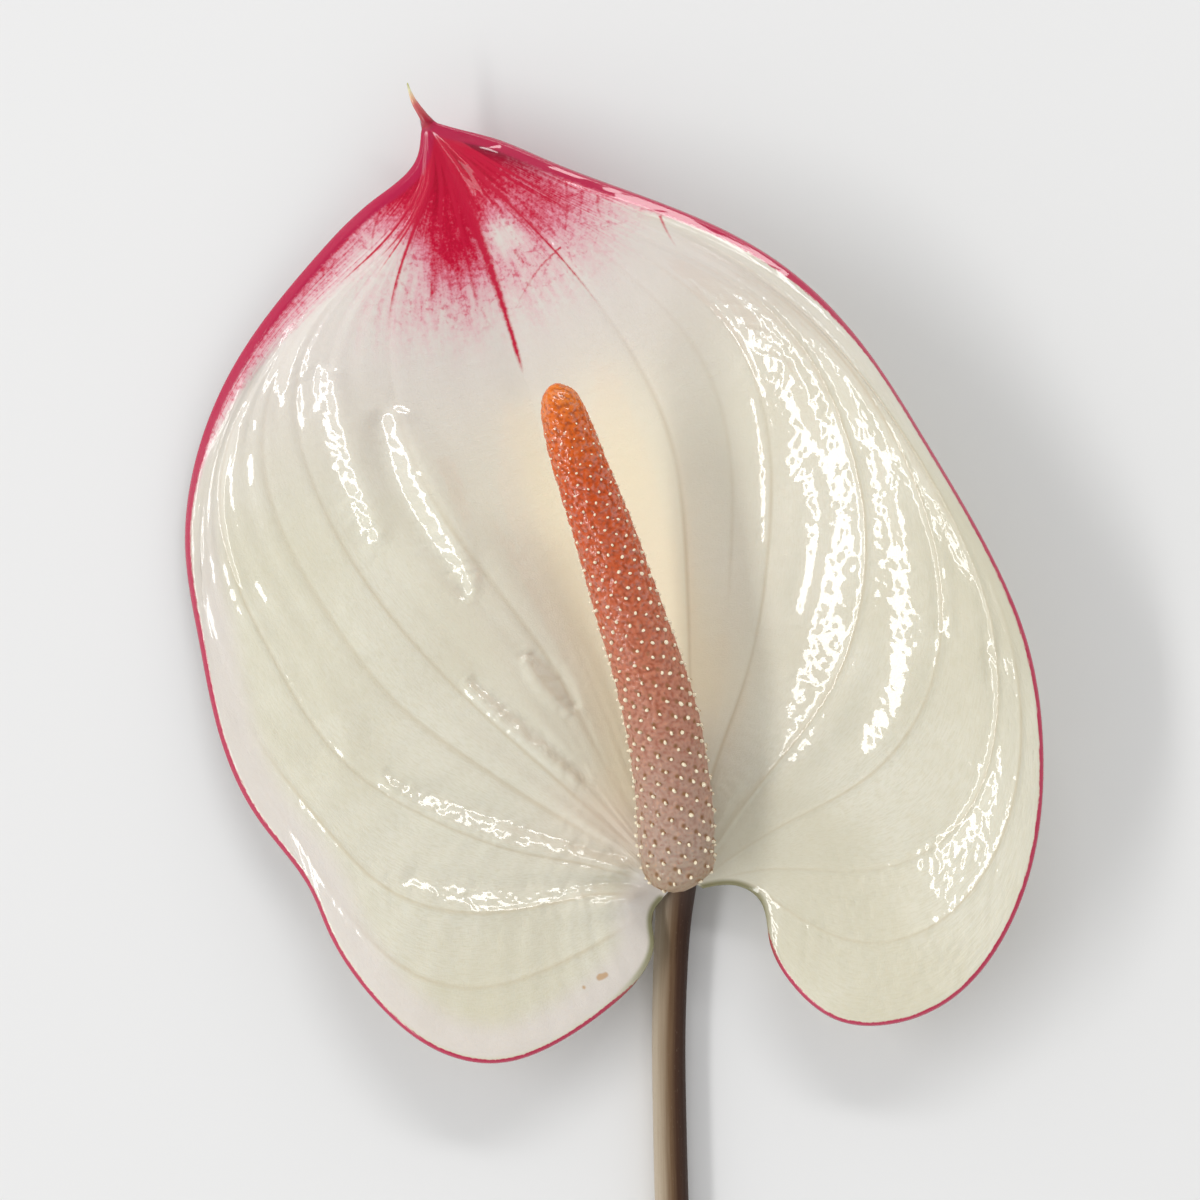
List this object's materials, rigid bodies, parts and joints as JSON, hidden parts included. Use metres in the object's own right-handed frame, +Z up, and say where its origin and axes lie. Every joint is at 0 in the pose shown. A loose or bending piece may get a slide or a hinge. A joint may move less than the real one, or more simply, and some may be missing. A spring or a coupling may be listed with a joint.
{
  "type": "cut anthurium stem",
  "caption": "Cut anthurium stem lying flat: a long brown stem, a glossy cream heart-shaped spathe with a crimson tip and edge, and an orange spadix leaning up from it.",
  "frame": {"origin": "bottom centre of the whole stem's bounding box, on the surface it lies on", "axes": "+Y along the stem from the cut end to the tip of the spathe, +Z up out of the face of the spathe, +X to the right of the spathe seen from above"},
  "size_m": [0.1204, 0.4988, 0.0311],
  "materials": {
    "stem_skin": "satin brown-green plant skin",
    "spathe_skin": "waxy gloss, cream with crimson tip and margin",
    "spadix_skin": "satin, orange at the tip to mauve at the base, with cream dots"
  },
  "bodies": {
    "root": {"stem": "stem_skin", "spathe": "spathe_skin", "spadix": "spadix_skin"}
  },
  "joints": []
}
